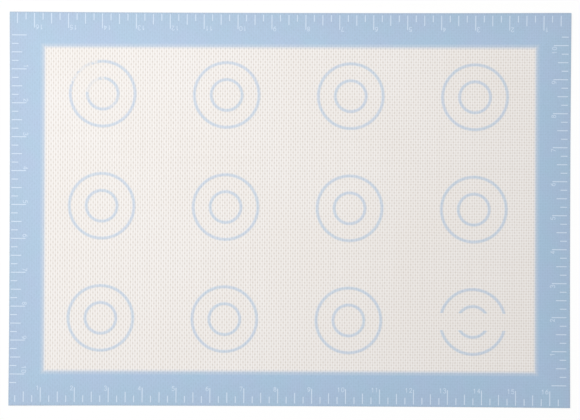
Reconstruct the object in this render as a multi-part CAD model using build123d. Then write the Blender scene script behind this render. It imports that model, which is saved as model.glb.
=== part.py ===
from build123d import *
import os

# Silicone baking mat, lying flat. The underside is on Z = 0 and the origin is under the
# middle of the sheet. +X runs along the long side, +Y to the back edge, +Z up.
# It is a laminate: silicone, woven glass cloth and silicone again, with a blue border
# that laps over the cut edge, and silicone ink printed on top. All lengths are in mm.

# Sheet
mat_length = 420.0  # finished size along X
mat_width = 295.0  # finished size along Y
corner_radius = 0.6
base_coat_thickness = 0.20
cloth_thickness = 0.30
top_coat_thickness = 0.20

# Border
band_width = 25.4  # from the edge of the mat to the bare field
edge_lap_thickness = 0.30  # silicone over the cut ends of the glass yarns
window_corner_radius = 1.0
blue_ink_thickness = 0.08  # the border and the rings are printed together

# Portion rings
ring_rows = 3
ring_columns = 4
ring_side_margin = 19.7  # from the border to the outer rings, left and right
ring_end_margin = 12.6  # the same at the front and back
outer_ring_diameter = 50.8  # outside of the printed line
inner_ring_diameter = 25.4
ring_line_width = 2.3
bare_strip_height = 12.9  # crosses the last pair of rings, which are arcs above and below it

# The ink pass of the rings landed a little off the middle of the sheet, and turned
ring_print_shift_x = -1.5
ring_print_shift_y = 1.4
ring_print_turn = -0.4  # degrees

# Scales, one along each edge, read by someone who stands at that edge
inch_spacing = 25.4
marks_per_inch = 4
inch_mark_length = 11.0
half_mark_length = 7.8
quarter_mark_length = 5.0
mark_line_width = 0.65
mark_edge_gap = 1.8  # from the edge of the mat to the outer ends of the marks
corner_margin = 4.0  # no mark is nearer to a corner than this, along the edge
white_ink_thickness = 0.04
long_scale_mark_count = 67  # front and back, from zero, with those that fall off the mat
short_scale_mark_count = 42  # left and right

# Each scale's zero from the corner at its reader's left, negative where it is off the mat
front_scale_start = -0.5
back_scale_start = -5.1
left_scale_start = 18.4
right_scale_start = 17.0

# The white pass has its own small shift and turn
scale_print_shift_x = -0.6
scale_print_shift_y = 0.3
scale_print_turn = -0.2  # degrees

# Numbers
digit_height = 3.6
digit_width = 2.3
digit_line_width = 0.5
digit_space = 0.65  # between two digits
number_gap = 0.95  # from the last digit to the middle of its inch mark
number_baseline = 8.7  # from the outer ends of the marks

# Worked out from the sizes above
cloth_bottom = base_coat_thickness
top_coat_bottom = cloth_bottom + cloth_thickness
field_top = top_coat_bottom + top_coat_thickness  # the surface that food lies on
band_top = field_top + blue_ink_thickness
core_length = mat_length - 2 * edge_lap_thickness
core_width = mat_width - 2 * edge_lap_thickness
core_corner_radius = corner_radius - edge_lap_thickness
window_length = mat_length - 2 * band_width
window_width = mat_width - 2 * band_width
ring_column_pitch = (window_length - 2 * ring_side_margin - outer_ring_diameter) / (ring_columns - 1)
ring_row_pitch = (window_width - 2 * ring_end_margin - outer_ring_diameter) / (ring_rows - 1)

# Centre lines of the digits, as shares of the width and the height of the line's own box:
# two points are a straight stroke, three points an arc through the middle one
digit_stroke_shares = {
    "0": [
        [(0, 0.68), (0.5, 1), (1, 0.68)],
        [(1, 0.68), (1, 0.32)],
        [(1, 0.32), (0.5, 0), (0, 0.32)],
        [(0, 0.32), (0, 0.68)],
    ],
    "1": [[(0.5, 0), (0.5, 1)], [(0.5, 1), (0.15, 0.78)]],
    "2": [[(0, 0.76), (0.5, 1), (1, 0.7)], [(1, 0.7), (0, 0)], [(0, 0), (1, 0)]],
    "3": [[(0.05, 0.88), (0.92, 0.78), (0.4, 0.53)], [(0.4, 0.53), (1, 0.28), (0, 0.1)]],
    "4": [[(0.75, 0), (0.75, 1)], [(0.75, 1), (0, 0.3)], [(0, 0.3), (1, 0.3)]],
    "5": [[(0.9, 1), (0.15, 1)], [(0.15, 1), (0.05, 0.55)], [(0.05, 0.55), (1, 0.34), (0, 0.08)]],
    "6": [
        [(0, 0.32), (0.5, 0.64), (1, 0.32)],
        [(1, 0.32), (0.5, 0), (0, 0.32)],
        [(0, 0.32), (0.2, 0.78), (0.85, 1)],
    ],
    "7": [[(0, 1), (1, 1)], [(1, 1), (0.35, 0)]],
    "8": [
        [(0.1, 0.77), (0.5, 1), (0.9, 0.77)],
        [(0.9, 0.77), (0.5, 0.54), (0.1, 0.77)],
        [(0, 0.27), (0.5, 0.54), (1, 0.27)],
        [(1, 0.27), (0.5, 0), (0, 0.27)],
    ],
    "9": [
        [(1, 0.68), (0.5, 0.36), (0, 0.68)],
        [(0, 0.68), (0.5, 1), (1, 0.68)],
        [(1, 0.68), (0.8, 0.22), (0.15, 0)],
    ],
}


def layer(length, width, radius, thickness, bottom):
    """A flat sheet with rounded corners, centred on Z."""
    return Pos(0, 0, bottom) * extrude(RectangleRounded(length, width, radius), thickness)


def core_layer(thickness, bottom):
    """One of the three layers inside the edge lap."""
    return layer(core_length, core_width, core_corner_radius, thickness, bottom)


def border_band():
    """The printed frame, in one piece with the lap that seals the cut edge."""
    outside = layer(mat_length, mat_width, corner_radius, band_top, 0)
    window = layer(window_length, window_width, window_corner_radius, band_top, 0)
    return outside - core_layer(field_top, 0) - window


def ring_frame(row, column):
    """Where a pair of rings is centred. Row 1 is at the back, column 1 at the left."""
    middle_row = (ring_rows + 1) / 2
    middle_column = (ring_columns + 1) / 2
    x = (column - middle_column) * ring_column_pitch
    y = (middle_row - row) * ring_row_pitch
    print_frame = Pos(ring_print_shift_x, ring_print_shift_y, field_top) * Rot(0, 0, ring_print_turn)
    return print_frame * Pos(x, y, 0)


def printed_ring(diameter, is_split):
    """A line of ink round a circle, split by the bare strip where is_split is true."""
    radius = diameter / 2
    outline = Circle(radius) - Circle(radius - ring_line_width)
    if is_split:
        outline -= Rectangle(2 * diameter, bare_strip_height)
    return extrude(outline, blue_ink_thickness)


def scale_frame(angle):
    """The front edge's frame turned to another edge: 90 is the right edge, 180 the back."""
    print_frame = Pos(scale_print_shift_x, scale_print_shift_y, band_top) * Rot(0, 0, scale_print_turn)
    return print_frame * Rot(0, 0, angle)


def mark_places(edge_length, start, mark_count):
    """The marks that a scale shows: the number of each, and its place along the edge."""
    half_length = edge_length / 2
    places = []
    for mark in range(mark_count):
        along = start + mark * inch_spacing / marks_per_inch
        if corner_margin <= along <= edge_length - corner_margin:
            places.append((mark, along - half_length))
    return places


def scale_marks(edge_length, edge_distance, start, mark_count):
    """Every line of one scale, along the front edge."""
    marks = []
    for mark, x in mark_places(edge_length, start, mark_count):
        if mark % marks_per_inch == 0:
            length = inch_mark_length
        elif 2 * mark % marks_per_inch == 0:
            length = half_mark_length
        else:
            length = quarter_mark_length
        line = Rectangle(mark_line_width, length, align=(Align.CENTER, Align.MIN))
        outer_end = Pos(x, mark_edge_gap - edge_distance, 0)
        marks.append(outer_end * extrude(line, white_ink_thickness))
    return marks


def digit(character):
    """One digit, with its lower left corner at the origin."""
    line_box_width = digit_width - digit_line_width
    line_box_height = digit_height - digit_line_width
    inset = digit_line_width / 2
    outline = Sketch()
    for shares in digit_stroke_shares[character]:
        points = [(inset + x * line_box_width, inset + y * line_box_height) for x, y in shares]
        line = ThreePointArc(*points) if len(points) > 2 else Line(*points)
        outline += SlotArc(line.edge(), digit_line_width)
    return extrude(outline, white_ink_thickness)


def scale_numbers(edge_length, edge_distance, start, mark_count):
    """The numbers of one scale, each on the zero side of its inch mark."""
    digits = []
    baseline = mark_edge_gap + number_baseline - edge_distance
    for mark, x in mark_places(edge_length, start, mark_count):
        if mark == 0 or mark % marks_per_inch:
            continue
        left = x - number_gap
        for character in reversed(str(mark // marks_per_inch)):
            left -= digit_width
            digits.append(Pos(left, baseline, 0) * digit(character))
            left -= digit_space
    return digits


pieces = {
    "silicone_base_coat": [core_layer(base_coat_thickness, 0)],
    "glass_cloth": [core_layer(cloth_thickness, cloth_bottom)],
    "silicone_top_coat": [core_layer(top_coat_thickness, top_coat_bottom)],
    "border_band": [border_band()],
}

for row in range(1, ring_rows + 1):
    for column in range(1, ring_columns + 1):
        place = f"r{row}_c{column}"
        is_last = row == ring_rows and column == ring_columns
        for name, diameter in (("outer", outer_ring_diameter), ("inner", inner_ring_diameter)):
            ring = ring_frame(row, column) * printed_ring(diameter, is_last)
            pieces[f"{name}_ring_{place}"] = list(ring.solids())

scales = {
    "front": (0, mat_length, mat_width / 2, front_scale_start, long_scale_mark_count),
    "right": (90, mat_width, mat_length / 2, right_scale_start, short_scale_mark_count),
    "back": (180, mat_length, mat_width / 2, back_scale_start, long_scale_mark_count),
    "left": (270, mat_width, mat_length / 2, left_scale_start, short_scale_mark_count),
}
for side, (angle, *scale) in scales.items():
    frame = scale_frame(angle)
    pieces[f"{side}_scale_marks"] = [frame * mark for mark in scale_marks(*scale)]
    pieces[f"{side}_scale_numbers"] = [frame * number for number in scale_numbers(*scale)]

os.makedirs("parts", exist_ok=True)
for name, solids in pieces.items():
    shape = solids[0] if len(solids) == 1 else Compound(children=solids)
    shape.label = name
    export_step(shape, f"parts/{name}.step")
    print(name, len(shape.solids()), "solids,", round(shape.volume, 2), "mm3")
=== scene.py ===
import math

import bmesh
import bpy
from mathutils import Matrix, Vector


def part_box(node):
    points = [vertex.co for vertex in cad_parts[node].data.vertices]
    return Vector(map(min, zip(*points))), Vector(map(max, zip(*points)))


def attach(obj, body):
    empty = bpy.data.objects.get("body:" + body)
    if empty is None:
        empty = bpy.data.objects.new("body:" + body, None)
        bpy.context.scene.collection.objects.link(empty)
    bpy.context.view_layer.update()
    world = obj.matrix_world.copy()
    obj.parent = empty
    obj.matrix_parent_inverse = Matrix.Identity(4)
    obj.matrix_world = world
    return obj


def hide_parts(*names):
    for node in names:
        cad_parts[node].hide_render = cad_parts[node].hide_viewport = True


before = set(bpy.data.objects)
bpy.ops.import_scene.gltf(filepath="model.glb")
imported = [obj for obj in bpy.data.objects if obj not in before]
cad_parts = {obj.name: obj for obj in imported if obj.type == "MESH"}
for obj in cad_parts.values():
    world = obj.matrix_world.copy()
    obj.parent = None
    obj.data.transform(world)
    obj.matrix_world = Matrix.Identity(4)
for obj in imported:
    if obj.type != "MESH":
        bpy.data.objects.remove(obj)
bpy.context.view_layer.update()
mm = 0.001
samePlace = 0.01 * mm  # two places nearer than this count as one
mergeDistance = 0.001 * mm
smoothAngle = 35  # degrees, an edge sharper than this stays crisp

print("camera, floor and light")

view = {
    "cameraHeight": 1.2,  # nearly straight down through a long lens
    "cameraCentre": (0.36 * mm, -0.3 * mm),  # what the middle of the picture shows
    "cameraAside": 11.0 * mm,  # it stands this far to the right of that, and looks back
    "cameraRoll": 0.2,  # degrees
    "frameWidth": 434.5 * mm,  # what the picture takes in at the height of the mat
    "sensorWidth": 36.0,
    "softboxPlace": (-0.42, 0.24, 1.3),  # upper left of the mat
    "softboxSize": 0.6,
    "softboxPower": 12.7,
    "skyStrength": 0.457,
    "floorSize": 8.0,
    "floorDrop": 0.02 * mm,
    "floorColour": "#FBFAF8",
    "floorShadowShare": 0.1,  # how much of the floor's own shading shows through the white
}


def fromHex(text):
    # sRGB hex to the linear colour that a shader wants
    channels = [int(text[i : i + 2], 16) / 255 for i in (1, 3, 5)]
    linear = [c / 12.92 if c <= 0.04045 else ((c + 0.055) / 1.055) ** 2.4 for c in channels]
    return (*linear, 1.0)


def addNode(tree, kind, sockets=None, **settings):
    # A value goes on the socket itself, an output or a node's first output is linked to it.
    # A colour Mix has its two colours on inputs 6 and 7, and its result on output 2.
    node = tree.nodes.new("ShaderNode" + kind)
    for name, value in settings.items():
        setattr(node, name, value)
    for name, value in (sockets or {}).items():
        if isinstance(value, bpy.types.Node):
            value = value.outputs[0]
        if isinstance(value, bpy.types.NodeSocket):
            tree.links.new(value, node.inputs[name])
        else:
            node.inputs[name].default_value = value
    return node


def newMaterial(name):
    material = bpy.data.materials.new(name)
    material.use_nodes = True
    material.node_tree.nodes.clear()
    return material


def whiteToCamera(tree):
    # 1 for the rays that see the background, also by way of a gloss
    path = addNode(tree, "LightPath")
    seen = addNode(
        tree,
        "Math",
        {0: path.outputs["Is Camera Ray"], 1: path.outputs["Is Glossy Ray"]},
        operation="MAXIMUM",
    )
    return addNode(
        tree, "Math", {0: seen.outputs[0], 1: path.outputs["Is Transmission Ray"]}, operation="MAXIMUM"
    ).outputs[0]


bpy.ops.object.select_all(action="DESELECT")
bpy.ops.object.camera_add(
    location=(
        view["cameraCentre"][0] + view["cameraAside"],
        view["cameraCentre"][1],
        view["cameraHeight"],
    ),
    rotation=(
        0,
        math.atan(view["cameraAside"] / view["cameraHeight"]),
        math.radians(view["cameraRoll"]),
    ),
)
camera = bpy.context.object
camera.data.sensor_width = view["sensorWidth"]
camera.data.lens = view["sensorWidth"] * view["cameraHeight"] / view["frameWidth"]
bpy.context.scene.camera = camera

bpy.ops.object.light_add(type="AREA", location=view["softboxPlace"])
softbox = bpy.context.object
softbox.rotation_euler = (-Vector(view["softboxPlace"])).to_track_quat("-Z", "Y").to_euler()
softbox.data.size = view["softboxSize"]
softbox.data.energy = view["softboxPower"]

world = bpy.data.worlds.new("paleRoom")
world.use_nodes = True
bpy.context.scene.world = world
sky = world.node_tree
sky.nodes.clear()
skyLight = addNode(sky, "Background", {"Color": (1, 1, 1, 1), "Strength": view["skyStrength"]})
skySeen = addNode(sky, "Background", {"Color": (1, 1, 1, 1), "Strength": 1.0})
skyMix = addNode(
    sky, "MixShader", {0: whiteToCamera(sky), 1: skyLight.outputs[0], 2: skySeen.outputs[0]}
)
addNode(sky, "OutputWorld", {"Surface": skyMix.outputs[0]})

bpy.ops.mesh.primitive_plane_add(size=view["floorSize"], location=(0, 0, -view["floorDrop"]))
floor = bpy.context.object
floor.name = "floor"
# Matt white paint, which the eye takes for plain white with a faint shadow round the mat
paint = newMaterial("whiteMattFloor")
tree = paint.node_tree
matt = addNode(tree, "BsdfDiffuse", {"Color": fromHex(view["floorColour"])})
glow = addNode(tree, "Emission", {"Color": (1, 1, 1, 1), "Strength": 1.0})
share = addNode(
    tree, "Math", {0: whiteToCamera(tree), 1: 1 - view["floorShadowShare"]}, operation="MULTIPLY"
)
shown = addNode(tree, "MixShader", {0: share.outputs[0], 1: matt.outputs[0], 2: glow.outputs[0]})
addNode(tree, "OutputMaterial", {"Surface": shown.outputs[0]})
floor.data.materials.append(paint)

bpy.context.scene.view_settings.view_transform = "Standard"

print("weave")

clothLow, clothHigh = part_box("glass_cloth")
weave = {
    "warps": 238,  # glass yarns that run front to back, counted along the mat
    "wefts": 148,  # yarns that run left to right
    "weftDrop": 0.04 * mm,  # where the weft is on top, the coat lies this much lower
    "openingDepth": 0.06 * mm,  # and it sinks this much into each opening between the yarns
    "cornerRadius": 0.3 * mm,  # inside the lap, which adds its own to it
    "cornerSteps": 3,
    "coarseColumns": 34,  # faces of the flat side, 7 warps each
    "coarseRows": 37,  # 4 wefts each
}
clothSize = clothHigh - clothLow
warpPitch = clothSize.x / weave["warps"]
weftPitch = clothSize.y / weave["wefts"]


def pick(piece, kind, isWanted):
    # Leaves only the wanted verts, edges or faces selected, in edit mode
    bpy.ops.mesh.select_mode(type=kind)
    bpy.ops.mesh.select_all(action="DESELECT")
    shape = bmesh.from_edit_mesh(piece.data)
    parts = {"VERT": shape.verts, "EDGE": shape.edges, "FACE": shape.faces}[kind]
    for part in parts:
        if isWanted(part):
            part.select_set(True)
    shape.select_flush_mode()
    bmesh.update_edit_mesh(piece.data)


def centreOf(edge):
    return (edge.verts[0].co + edge.verts[1].co) / 2


def clothGrid(name, columns, rows, height):
    # A flat sheet of the cloth's own size, with its four small round corners
    bpy.ops.object.select_all(action="DESELECT")
    bpy.ops.mesh.primitive_grid_add(
        x_subdivisions=columns, y_subdivisions=rows, size=1, location=(0, 0, height)
    )
    piece = bpy.context.object
    piece.name = name
    piece.scale = (clothSize.x, clothSize.y, 1)
    bpy.ops.object.transform_apply(location=True, rotation=True, scale=True)
    bpy.ops.object.mode_set(mode="EDIT")
    pick(piece, "VERT", lambda vert: len(vert.link_edges) == 2)
    bpy.ops.mesh.bevel(
        affect="VERTICES", offset=weave["cornerRadius"], segments=weave["cornerSteps"]
    )
    bpy.ops.object.mode_set(mode="OBJECT")
    return piece


def isWeftOver(vert):
    # The yarn on top alternates from one crossing to the next, along both yarns
    return (round(vert.co.x / warpPitch) + round(vert.co.y / weftPitch)) % 2 == 1


def sinkWeave(piece, side, isOpening):
    # side is 1 for a face that looks up and -1 for one that looks down
    pick(piece, "VERT", lambda vert: isWeftOver(vert) and not vert.is_boundary)
    bpy.ops.transform.translate(value=(0, 0, -side * weave["weftDrop"]))
    pick(piece, "FACE", isOpening)
    bpy.ops.mesh.poke(
        offset=-weave["openingDepth"], use_relative_offset=False, center_mode="MEDIAN"
    )


def closeSlab(piece, height, side):
    # Adds the flat far side in coarser faces, and the wall between
    back = clothGrid("farSide", weave["coarseColumns"], weave["coarseRows"], height)
    bpy.ops.object.mode_set(mode="EDIT")
    halfCell = clothSize.x / weave["coarseColumns"] / 2
    for across, step in (
        (1, weave["warps"] // weave["coarseColumns"]),
        (0, weave["wefts"] // weave["coarseRows"]),
    ):
        # The straight edges of this pair of sides get as many steps as the woven face has
        edgeLine = clothSize[across] / 2 - mergeDistance
        pick(
            back,
            "EDGE",
            lambda edge: edge.is_boundary
            and all(abs(vert.co[across]) > edgeLine for vert in edge.verts)
            and edge.calc_length() > halfCell,
        )
        bpy.ops.mesh.subdivide(number_cuts=step - 1)
    if side > 0:
        bpy.ops.mesh.select_all(action="SELECT")
        bpy.ops.mesh.flip_normals()
    bpy.ops.object.mode_set(mode="OBJECT")
    piece.select_set(True)
    bpy.context.view_layer.objects.active = piece
    bpy.ops.object.join()
    bpy.ops.object.mode_set(mode="EDIT")
    pick(piece, "EDGE", lambda edge: edge.is_boundary)
    bpy.ops.mesh.bridge_edge_loops()
    bpy.ops.object.mode_set(mode="OBJECT")


print("top coat")

coatLow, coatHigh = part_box("silicone_top_coat")
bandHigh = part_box("border_band")[1]
window = {
    "width": 25.4 * mm,  # of the border round it
    "raggedBy": 0.25 * mm,  # the ink's edge steps out and in by this from one yarn to the next
    "cornerPull": 0.3 * mm,
}
windowX = bandHigh.x - window["width"]
windowY = bandHigh.y - window["width"]


def isInWindow(place, margin=0.0):
    return abs(place.x) < windowX + margin and abs(place.y) < windowY + margin


topCoat = clothGrid("topCoat", weave["warps"], weave["wefts"], coatHigh.z)
bpy.ops.object.mode_set(mode="EDIT")
sinkWeave(topCoat, 1, lambda face: isInWindow(face.calc_center_median(), warpPitch))
bpy.ops.object.mode_set(mode="OBJECT")
closeSlab(topCoat, coatLow.z, 1)

print("base coat")

baseLow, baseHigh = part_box("silicone_base_coat")
baseCoat = clothGrid("baseCoat", weave["warps"], weave["wefts"], baseLow.z)
bpy.ops.object.mode_set(mode="EDIT")
bpy.ops.mesh.select_all(action="SELECT")
bpy.ops.mesh.flip_normals()
sinkWeave(baseCoat, -1, lambda face: True)
bpy.ops.object.mode_set(mode="OBJECT")
closeSlab(baseCoat, baseHigh.z, -1)

print("glass cloth")

cloth = {
    "knuckle": 0.07 * mm,  # how far the yarn that is under lies below the one on top
}
glassCloth = clothGrid("glassCloth", weave["warps"], weave["wefts"], clothHigh.z)
thicken = glassCloth.modifiers.new("cloth", "SOLIDIFY")
thicken.thickness = clothSize.z
thicken.offset = -1
bpy.ops.object.modifier_apply(modifier=thicken.name)
clothMiddle = (clothLow.z + clothHigh.z) / 2
bpy.ops.object.mode_set(mode="EDIT")
pick(glassCloth, "VERT", lambda vert: vert.co.z > clothMiddle and isWeftOver(vert))
bpy.ops.transform.translate(value=(0, 0, -cloth["knuckle"]))
pick(glassCloth, "VERT", lambda vert: vert.co.z < clothMiddle and not isWeftOver(vert))
bpy.ops.transform.translate(value=(0, 0, cloth["knuckle"]))
bpy.ops.object.mode_set(mode="OBJECT")

print("border band")

border = {
    "inkThickness": 0.08 * mm,
    # The lap over the cut edge: how far out from the cloth, and how high, from top to bottom
    "lapProfile": (
        (0.12, 0.765),
        (0.21, 0.72),
        (0.27, 0.65),
        (0.30, 0.54),
        (0.30, 0.20),
        (0.28, 0.09),
        (0.20, 0.02),
        (0.08, 0.0),
    ),
}
borderBand = clothGrid("borderBand", weave["warps"], weave["wefts"], bandHigh.z)
bpy.ops.object.mode_set(mode="EDIT")
for place, direction in (
    ((windowX, 0, 0), (1, 0, 0)),
    ((-windowX, 0, 0), (1, 0, 0)),
    ((0, windowY, 0), (0, 1, 0)),
    ((0, -windowY, 0), (0, 1, 0)),
):
    bpy.ops.mesh.select_all(action="SELECT")
    bpy.ops.mesh.bisect(plane_co=place, plane_no=direction)
pick(borderBand, "FACE", lambda face: isInWindow(face.calc_center_median()))
bpy.ops.mesh.delete(type="FACE")


def isOnWindow(vert):
    return vert.is_boundary and isInWindow(vert.co, samePlace)


def isRaised(vert):
    # Every other yarn along the window's edge
    if abs(abs(vert.co.x) - windowX) < samePlace:
        return round(vert.co.y / weftPitch) % 2 == 0
    return round(vert.co.x / warpPitch) % 2 == 0


def isWindowCorner(vert):
    return abs(abs(vert.co.x) - windowX) < samePlace and abs(abs(vert.co.y) - windowY) < samePlace


def stretch(offset, halfX, halfY):
    # The scale that moves a loop about the middle by the same offset on all four sides
    return ((halfX + offset) / halfX, (halfY + offset) / halfY, 1)


# The window's edge: which of its verts are corners, and which are on a raised yarn
edgeSteps = []
for vert in bmesh.from_edit_mesh(borderBand.data).verts:
    if isOnWindow(vert):
        edgeSteps.append((vert.index, isWindowCorner(vert), isRaised(vert)))
for corner, raised, offset in (
    (False, True, window["raggedBy"]),
    (False, False, -window["raggedBy"]),
    (True, True, -window["cornerPull"]),
    (True, False, -window["cornerPull"]),
):
    wanted = {index for index, *kind in edgeSteps if kind == [corner, raised]}
    pick(borderBand, "VERT", lambda vert: vert.index in wanted)
    bpy.ops.transform.resize(
        value=stretch(offset, windowX, windowY), center_override=(0, 0, 0)
    )
# A second sheet below the first is the ink's underside
bpy.ops.mesh.select_all(action="SELECT")
bpy.ops.mesh.duplicate()
bpy.ops.transform.translate(value=(0, 0, -border["inkThickness"]))
bpy.ops.mesh.flip_normals()
bandMiddle = bandHigh.z - border["inkThickness"] / 2
sinkWeave(borderBand, 1, lambda face: face.normal.z > 0 and len(face.verts) == 4)
pick(
    borderBand,
    "EDGE",
    lambda edge: edge.is_boundary and isInWindow(centreOf(edge), 2 * window["raggedBy"]),
)
bpy.ops.mesh.bridge_edge_loops()
pick(borderBand, "EDGE", lambda edge: edge.is_boundary and centreOf(edge).z > bandMiddle)
# The upper sheet's rim goes down over the cut edge and meets the lower sheet's
outX = clothSize.x / 2
outY = clothSize.y / 2
lapHeight = bandHigh.z
for out, height in border["lapProfile"]:
    bpy.ops.mesh.extrude_region_move(
        TRANSFORM_OT_translate={"value": (0, 0, height * mm - lapHeight)}
    )
    offset = clothSize.x / 2 + out * mm - outX
    bpy.ops.transform.resize(value=stretch(offset, outX, outY), center_override=(0, 0, 0))
    outX += offset
    outY += offset
    lapHeight = height * mm
pick(borderBand, "EDGE", lambda edge: edge.is_boundary)
bpy.ops.mesh.bridge_edge_loops()
bpy.ops.mesh.select_all(action="SELECT")
bpy.ops.mesh.normals_make_consistent(inside=False)
bpy.ops.object.mode_set(mode="OBJECT")

print("rings")

# Ink is drawn flat, this far above the border, and then dropped onto what carries it
drawingLift = 1.0 * mm

rings = {
    "rows": 3,
    "columns": 4,
    "lineWidth": 2.3 * mm,
    "bleed": 0.16 * mm,  # the ink thins out this far beyond both edges of the line
    "linesAcross": 5,  # rows of faces
    "stepsAround": {"outer": 300, "inner": 150},
    "inkThickness": 0.07 * mm,
    "thinAtEdge": 0.3,  # share of the thickness along both edges of the line
    "inkBody": (0.3, 0.85, 1.0, 1.0, 0.85, 0.3),  # how full the ink is, from edge to edge
    "raggedBy": 0.1 * mm,
    "bareStrip": 12.9 * mm,  # left unprinted across the last pair
    "printTurn": -0.4,  # degrees
}


def layInk(piece, carrier, thickness, edgeShare):
    # Lays the flat ink on what carries it, and gives it its thickness
    settle = piece.modifiers.new("settle", "SHRINKWRAP")
    settle.target = carrier
    settle.wrap_method = "PROJECT"
    settle.use_project_z = True
    settle.use_negative_direction = True
    settle.use_positive_direction = False
    bpy.ops.object.modifier_apply(modifier=settle.name)
    body = piece.modifiers.new("body", "SOLIDIFY")
    body.thickness = thickness
    body.offset = 1
    if piece.vertex_groups:
        body.vertex_group = piece.vertex_groups[0].name
        body.thickness_vertex_group = edgeShare
    bpy.ops.object.modifier_apply(modifier=body.name)
    piece.vertex_groups.clear()


def copyPiece(source, name, place):
    # A copy with its own mesh, moved to its place
    bpy.ops.object.select_all(action="DESELECT")
    source.select_set(True)
    bpy.context.view_layer.objects.active = source
    bpy.ops.object.duplicate()
    piece = bpy.context.object
    piece.name = name
    piece.location = place
    bpy.ops.object.transform_apply(location=True, rotation=True, scale=True)
    return piece


def removePiece(piece):
    bpy.ops.object.select_all(action="DESELECT")
    piece.select_set(True)
    bpy.ops.object.delete()


def markBody(piece):
    # All but the edges of the line is in the group that gets the full thickness
    pick(piece, "VERT", lambda vert: not vert.is_boundary)
    bpy.ops.object.vertex_group_add()
    bpy.ops.object.vertex_group_set_active(group=piece.vertex_groups[-1].name)
    bpy.ops.object.vertex_group_assign()


def flatRing(name, radius, steps):
    # One ring about the origin, with the fullness of its ink as an attribute
    radius += rings["bleed"]
    width = rings["lineWidth"] + 2 * rings["bleed"]
    bpy.ops.object.select_all(action="DESELECT")
    bpy.ops.mesh.primitive_circle_add(
        vertices=steps, radius=radius, fill_type="NOTHING", location=(0, 0, 0)
    )
    piece = bpy.context.object
    piece.name = name
    bpy.ops.object.mode_set(mode="EDIT")
    bpy.ops.mesh.select_mode(type="EDGE")
    bpy.ops.mesh.select_all(action="SELECT")
    loop = radius
    for _ in range(rings["linesAcross"]):
        inner = loop - width / rings["linesAcross"]
        bpy.ops.mesh.extrude_region_move()
        bpy.ops.transform.resize(value=(inner / loop, inner / loop, 1), center_override=(0, 0, 0))
        loop = inner
    bpy.ops.mesh.select_all(action="SELECT")
    bpy.ops.mesh.normals_make_consistent(inside=False)
    markBody(piece)
    bpy.ops.object.mode_set(mode="OBJECT")
    body = piece.data.attributes.new("inkBody", "FLOAT", "POINT")
    for vert in piece.data.vertices:
        line = (radius - vert.co.length) / width * rings["linesAcross"]
        body.data[vert.index].value = rings["inkBody"][round(line)]
    return piece


def faceUp(piece):
    # Loose sheets can come out facing down
    bpy.ops.object.mode_set(mode="EDIT")
    pick(piece, "FACE", lambda face: face.normal.z < 0)
    bpy.ops.mesh.flip_normals()
    bpy.ops.object.mode_set(mode="OBJECT")


def cutStrip(piece, centre):
    # The two arcs that are left keep a straight cut along the bare strip
    turn = Matrix.Rotation(math.radians(rings["printTurn"]), 3, "Z")
    across = turn @ Vector((0, 1, 0))
    half = across * rings["bareStrip"] / 2
    bpy.ops.object.mode_set(mode="EDIT")
    for edge in (centre + half, centre - half):
        bpy.ops.mesh.select_all(action="SELECT")
        bpy.ops.mesh.bisect(plane_co=edge, plane_no=across)
    pick(
        piece,
        "FACE",
        lambda face: abs((face.calc_center_median() - centre).dot(across)) < half.length,
    )
    bpy.ops.mesh.delete(type="FACE")
    bpy.ops.object.mode_set(mode="OBJECT")


ringPieces = {}
for ringSize, steps in rings["stepsAround"].items():
    low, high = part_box(f"{ringSize}_ring_r1_c1")
    model = flatRing(f"{ringSize}Ring", (high.x - low.x) / 2, steps)
    faceUp(model)
    for row in range(1, rings["rows"] + 1):
        for column in range(1, rings["columns"] + 1):
            node = f"{ringSize}_ring_r{row}_c{column}"
            low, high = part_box(node)
            centre = (low + high) / 2
            centre.z = bandHigh.z + drawingLift
            ring = copyPiece(model, f"{ringSize}RingRow{row}Column{column}", centre)
            bpy.ops.object.mode_set(mode="EDIT")
            pick(ring, "VERT", lambda vert: vert.is_boundary)
            bpy.ops.transform.vertex_random(
                offset=rings["raggedBy"], seed=len(ringPieces), wait_for_input=False
            )
            bpy.ops.object.mode_set(mode="OBJECT")
            if row == rings["rows"] and column == rings["columns"]:
                cutStrip(ring, centre)
            layInk(ring, topCoat, rings["inkThickness"], rings["thinAtEdge"])
            ringPieces[node] = ring
    removePiece(model)

print("scales")

scales = {
    "inch": 25.4 * mm,
    "marksPerInch": 4,
    "markLengths": (11.0 * mm, 5.0 * mm, 7.8 * mm, 5.0 * mm),  # from the inch mark on
    "lineWidth": 0.65 * mm,
    "facesPerMm": 1.0,
    "edgeGap": 1.8 * mm,
    "cornerMargin": 4.0 * mm,  # no mark is nearer to a corner than this
    "printShift": (-0.6 * mm, 0.3 * mm),
    "printTurn": -0.2,  # degrees
    "inkThickness": 0.04 * mm,
    "levelNormal": 0.9,  # a face whose normal has more Z than this lies flat
    "matLength": 420.0 * mm,
    "matWidth": 295.0 * mm,
    # Turn from the front edge, zero from the corner at the reader's left, and how many marks
    "front": (0, -0.5 * mm, 67),
    "right": (90, 17.0 * mm, 42),
    "back": (180, -5.1 * mm, 67),
    "left": (270, 18.4 * mm, 42),
}


def oneInch():
    # The four marks from one inch to the next, lying along the front edge, from zero
    bpy.ops.object.select_all(action="DESELECT")
    bars = []
    for mark, length in enumerate(scales["markLengths"]):
        bpy.ops.mesh.primitive_grid_add(
            x_subdivisions=1,
            y_subdivisions=round(length / mm * scales["facesPerMm"]),
            size=1,
            location=(mark * scales["inch"] / scales["marksPerInch"], length / 2, 0),
        )
        bars.append(bpy.context.object)
        bars[-1].scale = (scales["lineWidth"], length, 1)
    for bar in bars:
        bar.select_set(True)
    bpy.ops.object.transform_apply(location=True, rotation=True, scale=True)
    bpy.ops.object.join()
    return bpy.context.object


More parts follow.
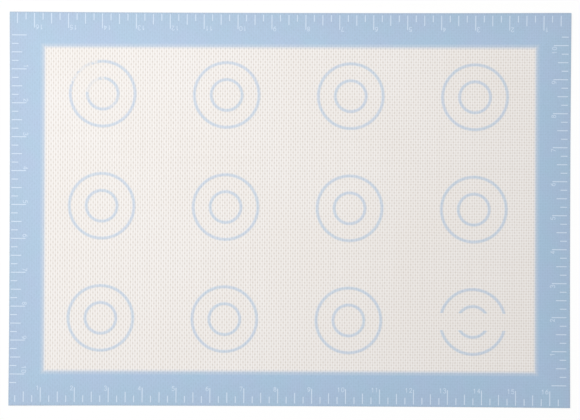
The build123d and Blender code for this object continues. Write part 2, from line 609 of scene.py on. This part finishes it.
def scaleMarks(side):
    # A row of inches, cut to the marks that the edge shows, and turned to that edge
    turn, start, count = scales[side]
    isLong = side in ("front", "back")
    edgeLength = scales["matLength"] if isLong else scales["matWidth"]
    edgeDistance = (scales["matWidth"] if isLong else scales["matLength"]) / 2
    piece = oneInch()
    piece.name = f"{side}ScaleMarks"
    row = piece.modifiers.new("inches", "ARRAY")
    row.count = math.ceil(count / scales["marksPerInch"])
    row.use_relative_offset = False
    row.use_constant_offset = True
    row.constant_offset_displace = (scales["inch"], 0, 0)
    bpy.ops.object.modifier_apply(modifier=row.name)
    pitch = scales["inch"] / scales["marksPerInch"]
    firstPlace = scales["cornerMargin"] - start
    lastPlace = min(edgeLength - scales["cornerMargin"] - start, (count - 1) * pitch)
    bpy.ops.object.mode_set(mode="EDIT")
    pick(
        piece,
        "FACE",
        lambda face: face.calc_center_median().x < firstPlace - samePlace
        or face.calc_center_median().x > lastPlace + samePlace,
    )
    bpy.ops.mesh.delete(type="FACE")
    bpy.ops.object.mode_set(mode="OBJECT")
    alongEdge = Matrix.Translation((start - edgeLength / 2, scales["edgeGap"] - edgeDistance, 0))
    shift = Matrix.Translation((*scales["printShift"], bandHigh.z + drawingLift))
    turned = Matrix.Rotation(math.radians(scales["printTurn"] + turn), 4, "Z")
    piece.matrix_world = shift @ turned @ alongEdge
    bpy.ops.object.transform_apply(location=True, rotation=True, scale=True)
    faceUp(piece)
    layInk(piece, borderBand, scales["inkThickness"], 1)
    return piece


def scaleNumbers(side):
    # The digits' outlines come from the frame, as flat faces that are laid like the marks
    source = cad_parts[f"{side}_scale_numbers"]
    piece = copyPiece(source, f"{side}ScaleNumbers", source.location)
    piece.hide_render = False
    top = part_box(f"{side}_scale_numbers")[1].z
    bpy.ops.object.mode_set(mode="EDIT")
    bpy.ops.mesh.select_all(action="SELECT")
    bpy.ops.mesh.remove_doubles(threshold=mergeDistance)
    pick(
        piece,
        "FACE",
        lambda face: face.normal.z < scales["levelNormal"]
        or face.calc_center_median().z < top - samePlace,
    )
    bpy.ops.mesh.delete(type="FACE")
    bpy.ops.mesh.select_all(action="SELECT")
    bpy.ops.transform.translate(value=(0, 0, drawingLift))
    bpy.ops.object.mode_set(mode="OBJECT")
    piece.data.materials.clear()
    layInk(piece, borderBand, scales["inkThickness"], 1)
    return piece


markPieces = {}
for side in ("front", "right", "back", "left"):
    markPieces[f"{side}_scale_marks"] = scaleMarks(side)
    markPieces[f"{side}_scale_numbers"] = scaleNumbers(side)

print("lie of the sheet")

lie = {
    "columns": 9,
    "rows": 7,
    "height": 10.0 * mm,  # of the lattice
    "endLift": 0.9 * mm,  # the short ends keep a little of the roll they were stored in
    "endPower": 6,  # the higher, the nearer to the end the lift begins
    "cornerLift": 1.9 * mm,
    "cornerPower": 5,
    "wave": 0.12 * mm,
    "wavesAlong": 5.5,  # half waves from the middle to an end
    "waveSkew": 0.8,  # they run a little askew
    "waist": 0.3 * mm,  # the middle of each side is drawn in
}
bpy.ops.object.select_all(action="DESELECT")
bpy.ops.object.add(type="LATTICE", location=(0, 0, 0))
warp = bpy.context.object
warp.name = "lieOfTheSheet"
warp.scale = (scales["matLength"], scales["matWidth"], lie["height"])
warp.data.points_u = lie["columns"]
warp.data.points_v = lie["rows"]
warp.data.points_w = 2
for point in warp.data.points:
    along, across = 2 * point.co.x, 2 * point.co.y  # -1 to 1
    lift = lie["endLift"] * abs(along) ** lie["endPower"]
    lift += lie["cornerLift"] * abs(along) ** lie["cornerPower"] * abs(across) ** lie["cornerPower"]
    phase = lie["wavesAlong"] * math.pi * along + lie["waveSkew"] * across
    lift += lie["wave"] * (1 + math.sin(phase)) / 2
    point.co_deform.z += lift / warp.scale.z
    point.co_deform.x -= lie["waist"] * along * (1 - across**2) / warp.scale.x
    point.co_deform.y -= lie["waist"] * across * (1 - along**2) / warp.scale.y
bpy.context.view_layer.update()

print("weave pattern")

# One pattern, laid out from the real pitch of the yarns, goes through coats and ink alike.
# The yarns run straight on average, and each leans a little way off its line.
look = {
    "yarnWander": 0.45 * mm,
    "wanderSize": 9.0 * mm,
    # How bright each line is, then from where to where that changes: along the mat, or
    # along a line that leans towards its front right corner. That change is painted light,
    # the way the light from the upper left shades the weave across the mat
    "warpLine": (0.455, 0.345, -40 * mm, 220 * mm),
    "weftLine": (0.09, 0.31, -160 * mm, 190 * mm),
    "alternate": (0.385, 0.165, -40 * mm, 220 * mm),  # painted shade: every other opening is darker, as the light from the upper left falls
    "leaningWay": (1, -0.3, 0),
    "yarnUneven": 0.25,
    "yarnRun": 0.02,  # how fast a yarn's fullness changes along it, as a share of across it
    "openingTone": (0.1, -1.0),  # where an opening begins, and where it is deepest
    "toneRange": (-1.0, 1.0),
    "noiseMiddle": 0.5,
    "fibreWidth": 0.12 * mm,  # a bundle of fibres, since one is too fine to show
    "fibreRun": 0.08,  # the same share for the fibres
    "inkStep": 0.4 * mm,  # the border's ink ends this much earlier on a yarn than beside it
}
weavePattern = bpy.data.node_groups.new("plainWeave", "ShaderNodeTree")
for name in ("Tone", "Opening", "Fibre"):
    weavePattern.interface.new_socket(name=name, in_out="OUTPUT", socket_type="NodeSocketFloat")
spot = addNode(weavePattern, "TexCoord").outputs["Object"]
wander = addNode(
    weavePattern, "TexNoise", {"Vector": spot, "Scale": 1 / look["wanderSize"], "Detail": 1.0}
)
wander = addNode(
    weavePattern,
    "VectorMath",
    {0: wander.outputs["Color"], 1: [look["noiseMiddle"]] * 3},
    operation="SUBTRACT",
)
wander = addNode(
    weavePattern,
    "VectorMath",
    {0: wander, 1: (look["yarnWander"], look["yarnWander"], 0), 2: spot},
    operation="MULTIPLY_ADD",
)
turns = addNode(
    weavePattern,
    "VectorMath",
    {0: wander, 1: (math.pi / warpPitch, math.pi / weftPitch, 0)},
    operation="MULTIPLY",
)
turns = addNode(weavePattern, "SeparateXYZ", {0: turns})
acrossWarps = addNode(weavePattern, "Math", {0: turns.outputs["X"]}, operation="SINE")
acrossWefts = addNode(weavePattern, "Math", {0: turns.outputs["Y"]}, operation="SINE")
twiceX = addNode(weavePattern, "Math", {0: turns.outputs["X"], 1: 2.0}, operation="MULTIPLY")
twiceY = addNode(weavePattern, "Math", {0: turns.outputs["Y"], 1: 2.0}, operation="MULTIPLY")
warpLine = addNode(weavePattern, "Math", {0: twiceX}, operation="COSINE")
weftLine = addNode(weavePattern, "Math", {0: twiceY}, operation="COSINE")
alternate = addNode(weavePattern, "Math", {0: acrossWarps, 1: acrossWefts}, operation="MULTIPLY")
endToEnd = addNode(weavePattern, "SeparateXYZ", {0: spot}).outputs["X"]
leaning = addNode(
    weavePattern, "VectorMath", {0: spot, 1: look["leaningWay"]}, operation="DOT_PRODUCT"
).outputs["Value"]
# Painted light: these shares change across the mat as the light from the upper left falls on the weave
shares = {}
for name, way in (("warpLine", leaning), ("weftLine", endToEnd), ("alternate", leaning)):
    startShare, endShare, startPlace, endPlace = look[name]
    shares[name] = addNode(
        weavePattern,
        "MapRange",
        {
            "Value": way,
            "From Min": startPlace,
            "From Max": endPlace,
            "To Min": startShare,
            "To Max": endShare,
        },
    )
tone = addNode(weavePattern, "Math", {0: warpLine, 1: shares["warpLine"]}, operation="MULTIPLY")
tone = addNode(
    weavePattern, "Math", {0: weftLine, 1: shares["weftLine"], 2: tone}, operation="MULTIPLY_ADD"
)
# Painted shade on every other opening, from the light that falls from the upper left
paintedShade = addNode(
    weavePattern, "Math", {0: alternate, 1: shares["alternate"]}, operation="MULTIPLY"
)
tone = addNode(weavePattern, "Math", {0: tone, 1: paintedShade}, operation="SUBTRACT")
# No two yarns are quite as full as each other
for squeeze in (
    (1 / warpPitch, look["yarnRun"] / warpPitch, 0),
    (look["yarnRun"] / weftPitch, 1 / weftPitch, 0),
):
    lengthwise = addNode(weavePattern, "VectorMath", {0: spot, 1: squeeze}, operation="MULTIPLY")
    uneven = addNode(weavePattern, "TexNoise", {"Vector": lengthwise, "Scale": 1.0})
    uneven = addNode(
        weavePattern,
        "Math",
        {0: uneven.outputs["Fac"], 1: look["noiseMiddle"]},
        operation="SUBTRACT",
    )
    tone = addNode(
        weavePattern, "Math", {0: uneven, 1: look["yarnUneven"], 2: tone}, operation="MULTIPLY_ADD"
    )
opening = addNode(
    weavePattern,
    "MapRange",
    {"Value": tone, "From Min": look["openingTone"][0], "From Max": look["openingTone"][1]},
)
fibreRun = addNode(
    weavePattern,
    "VectorMath",
    {0: spot, 1: (1 / look["fibreWidth"], look["fibreRun"] / look["fibreWidth"], 0)},
    operation="MULTIPLY",
)
fibre = addNode(weavePattern, "TexNoise", {"Vector": fibreRun, "Scale": 1.0, "Detail": 1.0})
groupEnd = weavePattern.nodes.new("NodeGroupOutput")
weavePattern.links.new(tone.outputs[0], groupEnd.inputs["Tone"])
weavePattern.links.new(opening.outputs[0], groupEnd.inputs["Opening"])
weavePattern.links.new(fibre.outputs["Fac"], groupEnd.inputs["Fibre"])

# How far a point is outside the window's edge: below zero in the field, above it in the border
windowEdge = bpy.data.node_groups.new("windowEdge", "ShaderNodeTree")
windowEdge.interface.new_socket(name="Distance", in_out="OUTPUT", socket_type="NodeSocketFloat")
spot = addNode(windowEdge, "TexCoord").outputs["Object"]
sides = addNode(windowEdge, "VectorMath", {0: spot}, operation="ABSOLUTE")
sides = addNode(
    windowEdge, "VectorMath", {0: sides, 1: (windowX, windowY, 0)}, operation="SUBTRACT"
)
sides = addNode(windowEdge, "SeparateXYZ", {0: sides})
farther = addNode(
    windowEdge, "Math", {0: sides.outputs["X"], 1: sides.outputs["Y"]}, operation="MAXIMUM"
)
weaveHere = addNode(windowEdge, "Group", node_tree=weavePattern)
farther = addNode(
    windowEdge,
    "Math",
    {0: weaveHere.outputs["Tone"], 1: -look["inkStep"], 2: farther},
    operation="MULTIPLY_ADD",
)
groupEnd = windowEdge.nodes.new("NodeGroupOutput")
windowEdge.links.new(farther.outputs[0], groupEnd.inputs["Distance"])


def finishWith(tree, colour, height, depth, roughness, ior):
    # Base colour, fine relief and gloss of one finish
    bump = addNode(tree, "Bump", {"Strength": 1.0, "Distance": depth, "Height": height})
    shader = addNode(
        tree,
        "BsdfPrincipled",
        {"Base Color": colour, "Roughness": roughness, "IOR": ior, "Normal": bump},
    )
    addNode(tree, "OutputMaterial", {"Surface": shader})


print("silicone coats")

# Clear silicone rubber spread over white glass cloth and cured. It is milky and satin:
# the yarns show through as lighter lines, and the openings between them as tan dots.
coats = {
    "yarn": "#F7F6F6",
    "opening": "#D0C8C1",
    "blue": "#A9BFD7",
    "blueInTop": 0.7,  # the border's ink shows this much through the coat it is printed on
    "blueInBase": 0.35,  # and this much on the underside
    "bleed": 2.2 * mm,  # it creeps this far into the field under its own edge
    "agedTint": "#F1E9DC",  # baking has yellowed it a little, in wide soft patches
    "agedShare": 0.25,
    "agedSize": 70.0 * mm,
    "roughness": 0.5,
    "ior": 1.41,
    "relief": 0.02 * mm,
    "fibreRelief": 0.3,  # share of the relief that follows the fibres in a yarn
}
coatLook = bpy.data.node_groups.new("coatLook", "ShaderNodeTree")
coatLook.interface.new_socket(name="Color", in_out="OUTPUT", socket_type="NodeSocketColor")
weaveHere = addNode(coatLook, "Group", node_tree=weavePattern)
bright = addNode(
    coatLook,
    "MapRange",
    {
        "Value": weaveHere.outputs["Tone"],
        "From Min": look["toneRange"][0],
        "From Max": look["toneRange"][1],
    },
)
colour = addNode(
    coatLook,
    "Mix",
    {0: bright, 6: fromHex(coats["opening"]), 7: fromHex(coats["yarn"])},
    data_type="RGBA",
)
aged = addNode(
    coatLook,
    "TexNoise",
    {"Vector": addNode(coatLook, "TexCoord").outputs["Object"], "Scale": 1 / coats["agedSize"]},
)
aged = addNode(
    coatLook, "Math", {0: aged.outputs["Fac"], 1: coats["agedShare"]}, operation="MULTIPLY"
)
colour = addNode(
    coatLook,
    "Mix",
    {0: aged, 6: colour.outputs[2], 7: fromHex(coats["agedTint"])},
    data_type="RGBA",
    blend_type="MULTIPLY",
)
groupEnd = coatLook.nodes.new("NodeGroupOutput")
coatLook.links.new(colour.outputs[2], groupEnd.inputs["Color"])


def coatFinish(name, blueThrough):
    material = newMaterial(name)
    tree = material.node_tree
    weaveHere = addNode(tree, "Group", node_tree=weavePattern)
    edgeHere = addNode(tree, "Group", node_tree=windowEdge)
    coatHere = addNode(tree, "Group", node_tree=coatLook)
    through = addNode(
        tree,
        "MapRange",
        {
            "Value": edgeHere.outputs["Distance"],
            "From Min": -coats["bleed"],
            "From Max": 0.0,
            "To Max": blueThrough,
        },
    )
    colour = addNode(
        tree, "Mix", {0: through, 6: coatHere, 7: fromHex(coats["blue"])}, data_type="RGBA"
    )
    height = addNode(
        tree,
        "Math",
        {0: weaveHere.outputs["Fibre"], 1: coats["fibreRelief"], 2: weaveHere.outputs["Tone"]},
        operation="MULTIPLY_ADD",
    )
    finishWith(
        tree, colour.outputs[2], height, coats["relief"], coats["roughness"], coats["ior"]
    )
    return material


print("blue ink")

# Silicone ink, screen printed in one pass and cured into the coat. It lies thick on the
# border, and thinner on the rings and along the window's edge, where the coat shows through.
blueInk = {
    "fullTints": ("#ABC1DC", "#A8C3DB"),  # the more lilac and the more cyan patches
    "thinTints": ("#A8C1DE", "#A5C3DD"),
    "tintSize": 22.0 * mm,
    "tintSpread": (0.35, 0.65),  # the noise below and above these is all of one tint
    "cutEdgePaintedShade": "#FDFAF9",  # painted shade: the border darkens a little from the window to the cut edge
    "lapPaintedShade": "#F9F6F2",  # and more painted shade on the rounded lap itself
    "lapFrom": 24.3 * mm,  # out from the window's edge
    "frontPaintedShade": "#F9FCFD",  # and painted shade over the whole print from the back left corner to the front right
    "frontWay": (1, -1.4, 0),
    "frontReach": 210.0 * mm,
    "deepShare": 0.14,  # the deepest specks are this much darker
    "borderCover": (0.72, 1.0),  # at the window's edge, and where the ink is full
    "fadeWidth": 2.4 * mm,
    "ringCover": 0.57,
    "mottle": 0.35,  # how far the cover of a ring goes up and down
    "mottleSize": 1.3 * mm,
    "yarnCover": 0.1,  # less ink stays on the tops of the yarns
    "yarnGhost": 0.05,  # and the weave still shows faintly in the ink itself
    # The first pair of rings has worn: angle and distance from their middle, radius, ink left
    "wornSpots": ((134, 17.0 * mm, 12.0 * mm, 0.25), (-40, 11.5 * mm, 2.5 * mm, 0.5)),
    "wornEdge": 2.5 * mm,
    "flakeSize": 2.2 * mm,
    "flakeReach": 30.0 * mm,  # flakes hold on this far into a worn spot, and are missing outside
    "roughness": 0.5,
    "ior": 1.41,
    "relief": 0.012 * mm,
}


def blueFinish(name, tints, addCover):
    # addCover makes the share of ink over the coat, from 0 to 1. There are three of them below,
    # and each is given the same four things, whether it needs them or not.
    material = newMaterial(name)
    tree = material.node_tree
    spot = addNode(tree, "TexCoord").outputs["Object"]
    weaveHere = addNode(tree, "Group", node_tree=weavePattern)
    mottle = addNode(
        tree, "TexNoise", {"Vector": spot, "Scale": 1 / blueInk["mottleSize"], "Detail": 2.0}
    )
    tint = addNode(
        tree, "TexNoise", {"Vector": spot, "Scale": 1 / blueInk["tintSize"], "Detail": 2.0}
    )
    tint = addNode(
        tree,
        "MapRange",
        {
            "Value": tint.outputs["Fac"],
            "From Min": blueInk["tintSpread"][0],
            "From Max": blueInk["tintSpread"][1],
        },
    )
    ink = addNode(
        tree,
        "Mix",
        {0: tint, 6: fromHex(tints[0]), 7: fromHex(tints[1])},
        data_type="RGBA",
    )
    edgeHere = addNode(tree, "Group", node_tree=windowEdge)
    outward = addNode(
        tree,
        "MapRange",
        {"Value": edgeHere.outputs["Distance"], "From Max": window["width"]},
    )
    onLap = addNode(
        tree,
        "MapRange",
        {
            "Value": edgeHere.outputs["Distance"],
            "From Min": blueInk["lapFrom"],
            "From Max": window["width"],
        },
    )
    frontward = addNode(
        tree, "VectorMath", {0: spot, 1: blueInk["frontWay"]}, operation="DOT_PRODUCT"
    )
    frontward = addNode(
        tree,
        "MapRange",
        {
            "Value": frontward.outputs["Value"],
            "From Min": -blueInk["frontReach"],
            "From Max": blueInk["frontReach"],
        },
    )
    # Painted shade: darker towards the cut edge, on the lap, and towards the front right
    for share, paintedShade in (
        (outward, "cutEdgePaintedShade"),
        (onLap, "lapPaintedShade"),
        (frontward, "frontPaintedShade"),
    ):
        ink = addNode(
            tree,
            "Mix",
            {0: share, 6: ink.outputs[2], 7: fromHex(blueInk[paintedShade])},
            data_type="RGBA",
            blend_type="MULTIPLY",
        )
    ghost = addNode(
        tree,
        "Math",
        {0: weaveHere.outputs["Tone"], 1: blueInk["yarnGhost"], 2: 1.0},
        operation="MULTIPLY_ADD",
    )
    shade = addNode(
        tree,
        "Math",
        {0: mottle.outputs["Fac"], 1: -blueInk["deepShare"], 2: ghost},
        operation="MULTIPLY_ADD",
    )
    ink = addNode(
        tree, "VectorMath", {0: ink.outputs[2], "Scale": shade.outputs[0]}, operation="SCALE"
    )
    cover = addCover(tree, spot, mottle.outputs["Fac"], weaveHere.outputs["Tone"])
    coatHere = addNode(tree, "Group", node_tree=coatLook)
    colour = addNode(tree, "Mix", {0: cover, 6: coatHere, 7: ink}, data_type="RGBA")
    finishWith(
        tree,
        colour.outputs[2],
        weaveHere.outputs["Tone"],
        blueInk["relief"],
        blueInk["roughness"],
        blueInk["ior"],
    )
    return material


def borderCover(tree, spot, mottle, tone):
    # Full, and thinner along the window's edge
    edgeHere = addNode(tree, "Group", node_tree=windowEdge)
    return addNode(
        tree,
        "MapRange",
        {
            "Value": edgeHere.outputs["Distance"],
            "From Max": blueInk["fadeWidth"],
            "To Min": blueInk["borderCover"][0],
            "To Max": blueInk["borderCover"][1],
        },
    )


def ringCover(tree, spot, mottle, tone):
    # Uneven, thinner on the tops of the yarns and towards both edges of the line
    level = blueInk["ringCover"] - blueInk["mottle"] / 2
    uneven = addNode(
        tree, "Math", {0: mottle, 1: blueInk["mottle"], 2: level}, operation="MULTIPLY_ADD"
    )
    uneven = addNode(
        tree, "Math", {0: tone, 1: -blueInk["yarnCover"], 2: uneven}, operation="MULTIPLY_ADD"
    )
    body = addNode(tree, "Attribute", attribute_name="inkBody").outputs["Fac"]
    return addNode(tree, "Math", {0: uneven, 1: body}, operation="MULTIPLY")


def wornCover(tree, spot, mottle, tone):
    # The ring's cover, with ragged spots where most of the ink has gone
    low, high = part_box("outer_ring_r1_c1")
    cover = ringCover(tree, spot, mottle, tone)
    flake = addNode(tree, "TexNoise", {"Vector": spot, "Scale": 1 / blueInk["flakeSize"]})
    for angle, distance, radius, left in blueInk["wornSpots"]:
        centre = (low + high) / 2
        centre += Vector((distance, 0, 0)) @ Matrix.Rotation(-math.radians(angle), 3, "Z")
        fromSpot = addNode(tree, "VectorMath", {0: spot, 1: centre}, operation="DISTANCE")
        ragged = addNode(
            tree,
            "Math",
            {
                0: flake.outputs["Fac"],
                1: blueInk["flakeReach"],
                2: fromSpot.outputs["Value"],
            },
            operation="MULTIPLY_ADD",
        )
        edge = radius + blueInk["flakeReach"] / 2
        kept = addNode(
            tree,
            "MapRange",
            {
                "Value": ragged,
                "From Min": edge - blueInk["wornEdge"],
                "From Max": edge + blueInk["wornEdge"],
                "To Min": left,
            },
        )
        cover = addNode(tree, "Math", {0: cover, 1: kept}, operation="MULTIPLY")
    return cover


print("white ink")

# The same kind of ink in white, a thin satin print that looks pale blue over the border
whiteInk = {
    "full": "#CEDCEB",
    "thin": "#C5D4E5",
    "blueBelow": "#AAC2DB",
    "blueThrough": {"marks": 0.0, "numbers": 0.25},  # the numbers' thin lines took less ink
    "mottleSize": 1.6 * mm,
    "roughness": 0.5,
    "ior": 1.41,
    "relief": 0.01 * mm,
}


def whiteFinish(name, blueThrough):
    material = newMaterial(name)
    tree = material.node_tree
    spot = addNode(tree, "TexCoord").outputs["Object"]
    weaveHere = addNode(tree, "Group", node_tree=weavePattern)
    mottle = addNode(tree, "TexNoise", {"Vector": spot, "Scale": 1 / whiteInk["mottleSize"]})
    white = addNode(
        tree,
        "Mix",
        {
            0: mottle.outputs["Fac"],
            6: fromHex(whiteInk["thin"]),
            7: fromHex(whiteInk["full"]),
        },
        data_type="RGBA",
    )
    colour = addNode(
        tree,
        "Mix",
        {0: blueThrough, 6: white.outputs[2], 7: fromHex(whiteInk["blueBelow"])},
        data_type="RGBA",
    )
    finishWith(
        tree,
        colour.outputs[2],
        weaveHere.outputs["Tone"],
        whiteInk["relief"],
        whiteInk["roughness"],
        whiteInk["ior"],
    )
    return material


print("glass yarn")

# Plain woven glass, wetted by the silicone: off-white, with the gloss of fine straight
# fibres, and greyer where a yarn goes under. It is seen only when the mat is taken apart.
glassYarn = {
    "yarn": "#E9E4D8",
    "shadow": "#8F8878",
    "roughness": 0.35,
    "ior": 1.55,
    "relief": 0.05 * mm,
}
glassFinish = newMaterial("wovenGlassYarn")
tree = glassFinish.node_tree
weaveHere = addNode(tree, "Group", node_tree=weavePattern)
colour = addNode(
    tree,
    "Mix",
    {
        0: weaveHere.outputs["Opening"],
        6: fromHex(glassYarn["yarn"]),
        7: fromHex(glassYarn["shadow"]),
    },
    data_type="RGBA",
).outputs[2]
finishWith(
    tree,
    colour,
    weaveHere.outputs["Fibre"],
    glassYarn["relief"],
    glassYarn["roughness"],
    glassYarn["ior"],
)


def settlePiece(piece, material, slotName, *nodes):
    # The same lie for every layer, then its finish and its place in the frame
    bpy.ops.object.select_all(action="DESELECT")
    piece.select_set(True)
    bpy.context.view_layer.objects.active = piece
    bend = piece.modifiers.new("lie", "LATTICE")
    bend.object = warp
    bpy.ops.object.modifier_apply(modifier=bend.name)
    bpy.ops.object.shade_smooth_by_angle(angle=math.radians(smoothAngle))
    piece.data.materials.clear()
    piece.data.materials.append(material)
    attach(piece, "root")
    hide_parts(*nodes)


print("pieces into the frame")

topFinish = coatFinish("milkySiliconeOverGlassCloth", coats["blueInTop"])
settlePiece(topCoat, topFinish, "clear_white_silicone", "silicone_top_coat")
baseFinish = coatFinish("milkySiliconeUnderGlassCloth", coats["blueInBase"])
settlePiece(baseCoat, baseFinish, "clear_white_silicone", "silicone_base_coat")
settlePiece(glassCloth, glassFinish, "glass_cloth", "glass_cloth")
bandFinish = blueFinish("fullBlueSiliconeInk", blueInk["fullTints"], borderCover)
settlePiece(borderBand, bandFinish, "blue_silicone", "border_band")
ringFinish = blueFinish("thinBlueSiliconeInk", blueInk["thinTints"], ringCover)
wornFinish = blueFinish("wornBlueSiliconeInk", blueInk["thinTints"], wornCover)
for node, ring in ringPieces.items():
    finish = wornFinish if node.endswith("r1_c1") else ringFinish
    settlePiece(ring, finish, "blue_silicone", node)
whiteFinishes = {
    "marks": whiteFinish("whiteSiliconeInk", whiteInk["blueThrough"]["marks"]),
    "numbers": whiteFinish("thinWhiteSiliconeInk", whiteInk["blueThrough"]["numbers"]),
}
for node, piece in markPieces.items():
    settlePiece(piece, whiteFinishes[node.split("_")[-1]], "white_silicone_ink", node)
removePiece(warp)
